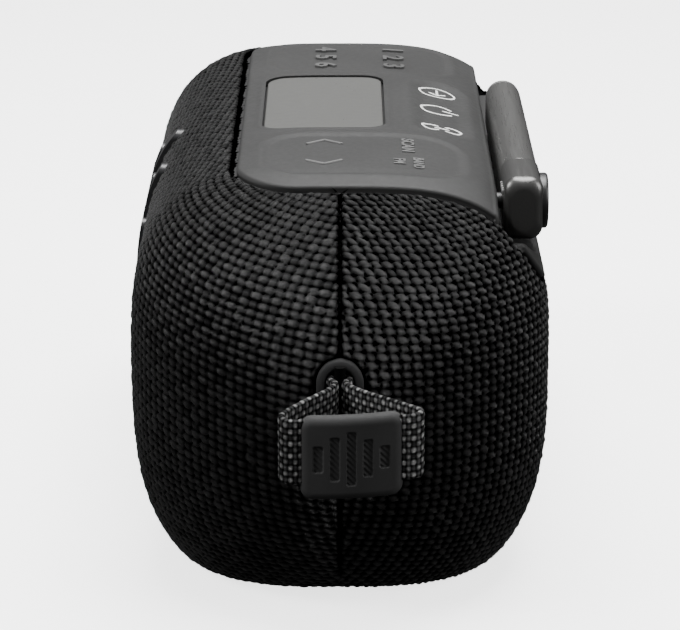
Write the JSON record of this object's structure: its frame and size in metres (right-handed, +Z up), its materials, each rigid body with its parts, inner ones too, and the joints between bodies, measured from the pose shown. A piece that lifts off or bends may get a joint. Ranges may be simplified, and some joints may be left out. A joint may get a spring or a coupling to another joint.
{
  "type": "portable radio speaker",
  "caption": "Fabric-covered portable wireless speaker with a top control panel, folding telescopic aerial and a short wrist-strap loop.",
  "frame": {"origin": "middle of the flat base pad, on the surface it stands on", "axes": "+X along the length towards the strap end, +Y to the back where the aerial is, +Z up"},
  "size_m": [0.1908, 0.0798, 0.0781],
  "materials": {
    "fabric": "coarse plain weave",
    "housing": "moulded, fine texture",
    "gasket": "satin",
    "screws": "zinc plated",
    "panel": "silk-smooth silicone rubber",
    "keys": "silk-smooth silicone rubber",
    "window": "hard-coated lens",
    "board": "solder mask",
    "switch": "moulded",
    "basket": "black powder coat",
    "magnet": "sintered",
    "plated_steel": "nickel plated",
    "copper": "enamelled winding",
    "cone": "pressed paper",
    "weight": "plain",
    "surround": "matte",
    "spider": "resin-dipped cloth",
    "battery": "shrink wrap",
    "bezel": "satin",
    "arm": "satin black",
    "sleeve": "satin gunmetal",
    "mast": "polished",
    "tip": "satin",
    "webbing": "salt-and-pepper flat webbing",
    "tag": "satin moulded rubber",
    "badge": "satin",
    "pad": "matte"
  },
  "bodies": {
    "speaker_body": {"front_fabric": "fabric", "rear_fabric": "fabric", "front_housing": "housing", "rear_housing": "housing", "panel_carrier": "housing", "display_module": "housing", "housing_gasket": "gasket", "housing_screws": "screws", "speaker_screws": "screws", "antenna_spring_washer": "screws", "strap_post": "screws", "control_panel_skin": "panel", "display_window": "window", "key_board": "board", "main_board": "board", "key_switches": "switch", "driver_frame": "basket", "radiator_frame": "basket", "speaker_guards": "basket", "driver_magnet": "magnet", "driver_top_plate": "plated_steel", "driver_back_plate": "plated_steel", "usb_socket": "plated_steel", "driver_surround": "surround", "radiator_surround": "surround", "driver_spider": "spider", "battery_pack": "battery", "socket_bezel": "bezel", "strap_anchor": "bezel", "front_badge": "badge", "base_pad": "pad"},
    "aerial_arm": {"antenna_arm": "arm", "antenna_sleeve": "sleeve", "antenna_pivot_pin": "screws", "antenna_pivot_cover": "arm", "antenna_clip": "screws"},
    "mast_outer": {"mast_section_1": "mast"},
    "mast_middle": {"mast_section_2": "mast"},
    "mast_inner": {"mast_section_3": "mast", "mast_tip": "tip"},
    "strap": {"strap_webbing": "webbing", "strap_tag": "tag"},
    "cone_assembly": {"driver_cone": "cone", "dust_cap": "cone", "voice_coil": "copper"},
    "radiator_disc": {"radiator_plate": "cone", "radiator_weight": "weight"},
    "key_preset_1": {"key_preset_1": "keys"},
    "key_preset_2": {"key_preset_2": "keys"},
    "key_preset_3": {"key_preset_3": "keys"},
    "key_preset_4": {"key_preset_4": "keys"},
    "key_preset_5": {"key_preset_5": "keys"},
    "key_preset_6": {"key_preset_6": "keys"},
    "key_scan": {"key_scan": "keys"},
    "key_band": {"key_band": "keys"},
    "key_tune_down": {"key_tune_down": "keys"},
    "key_tune_up": {"key_tune_up": "keys"},
    "key_source": {"key_source": "keys"},
    "key_power": {"key_power": "keys"},
    "key_pair": {"key_pair": "keys"}
  },
  "joints": [
    {"name": "antenna_fold", "type": "hinge", "parent": "speaker_body", "child": "aerial_arm", "pos_m": [0.051, 0.033, 0.0712], "axis": [0, 1, 0], "range_deg": [0, 90]},
    {"name": "mast_slide_outer", "type": "slide", "parent": "aerial_arm", "child": "mast_outer", "axis": [-1, 0, 0], "range_m": [0, 0.05]},
    {"name": "mast_slide_middle", "type": "slide", "parent": "mast_outer", "child": "mast_middle", "axis": [-1, 0, 0], "range_m": [0, 0.05]},
    {"name": "mast_slide_inner", "type": "slide", "parent": "mast_middle", "child": "mast_inner", "axis": [-1, 0, 0], "range_m": [0, 0.05]},
    {"name": "strap_swing", "type": "hinge", "parent": "speaker_body", "child": "strap", "pos_m": [0.087, 0, 0.0425], "axis": [0, 0, 1], "range_deg": [-18, 18]},
    {"name": "cone_travel", "type": "slide", "parent": "speaker_body", "child": "cone_assembly", "axis": [0, -1, 0], "range_m": [-0.0015, 0.0015], "stiffness_N_per_m": 1500, "deforming": ["driver_surround", "driver_spider"]},
    {"name": "radiator_travel", "type": "slide", "parent": "speaker_body", "child": "radiator_disc", "axis": [0, -1, 0], "range_m": [-0.002, 0.002], "stiffness_N_per_m": 800, "deforming": ["radiator_surround"]},
    {"name": "key_preset_1_press", "type": "slide", "parent": "speaker_body", "child": "key_preset_1", "axis": [0, 0, -1], "range_m": [0, 0.0005], "stiffness_N_per_m": 800, "springref_m": -0.0005},
    {"name": "key_preset_2_press", "type": "slide", "parent": "speaker_body", "child": "key_preset_2", "axis": [0, 0, -1], "range_m": [0, 0.0005], "stiffness_N_per_m": 800, "springref_m": -0.0005},
    {"name": "key_preset_3_press", "type": "slide", "parent": "speaker_body", "child": "key_preset_3", "axis": [0, 0, -1], "range_m": [0, 0.0005], "stiffness_N_per_m": 800, "springref_m": -0.0005},
    {"name": "key_preset_4_press", "type": "slide", "parent": "speaker_body", "child": "key_preset_4", "axis": [0, 0, -1], "range_m": [0, 0.0005], "stiffness_N_per_m": 800, "springref_m": -0.0005},
    {"name": "key_preset_5_press", "type": "slide", "parent": "speaker_body", "child": "key_preset_5", "axis": [0, 0, -1], "range_m": [0, 0.0005], "stiffness_N_per_m": 800, "springref_m": -0.0005},
    {"name": "key_preset_6_press", "type": "slide", "parent": "speaker_body", "child": "key_preset_6", "axis": [0, 0, -1], "range_m": [0, 0.0005], "stiffness_N_per_m": 800, "springref_m": -0.0005},
    {"name": "key_scan_press", "type": "slide", "parent": "speaker_body", "child": "key_scan", "axis": [0, 0, -1], "range_m": [0, 0.0005], "stiffness_N_per_m": 800, "springref_m": -0.0005},
    {"name": "key_band_press", "type": "slide", "parent": "speaker_body", "child": "key_band", "axis": [0, 0, -1], "range_m": [0, 0.0005], "stiffness_N_per_m": 800, "springref_m": -0.0005},
    {"name": "key_tune_down_press", "type": "slide", "parent": "speaker_body", "child": "key_tune_down", "axis": [0, 0, -1], "range_m": [0, 0.0005], "stiffness_N_per_m": 800, "springref_m": -0.0005},
    {"name": "key_tune_up_press", "type": "slide", "parent": "speaker_body", "child": "key_tune_up", "axis": [0, 0, -1], "range_m": [0, 0.0005], "stiffness_N_per_m": 800, "springref_m": -0.0005},
    {"name": "key_source_press", "type": "slide", "parent": "speaker_body", "child": "key_source", "axis": [0, 0, -1], "range_m": [0, 0.0005], "stiffness_N_per_m": 800, "springref_m": -0.0005},
    {"name": "key_power_press", "type": "slide", "parent": "speaker_body", "child": "key_power", "axis": [0, 0, -1], "range_m": [0, 0.0005], "stiffness_N_per_m": 800, "springref_m": -0.0005},
    {"name": "key_pair_press", "type": "slide", "parent": "speaker_body", "child": "key_pair", "axis": [0, 0, -1], "range_m": [0, 0.0005], "stiffness_N_per_m": 800, "springref_m": -0.0005}
  ]
}
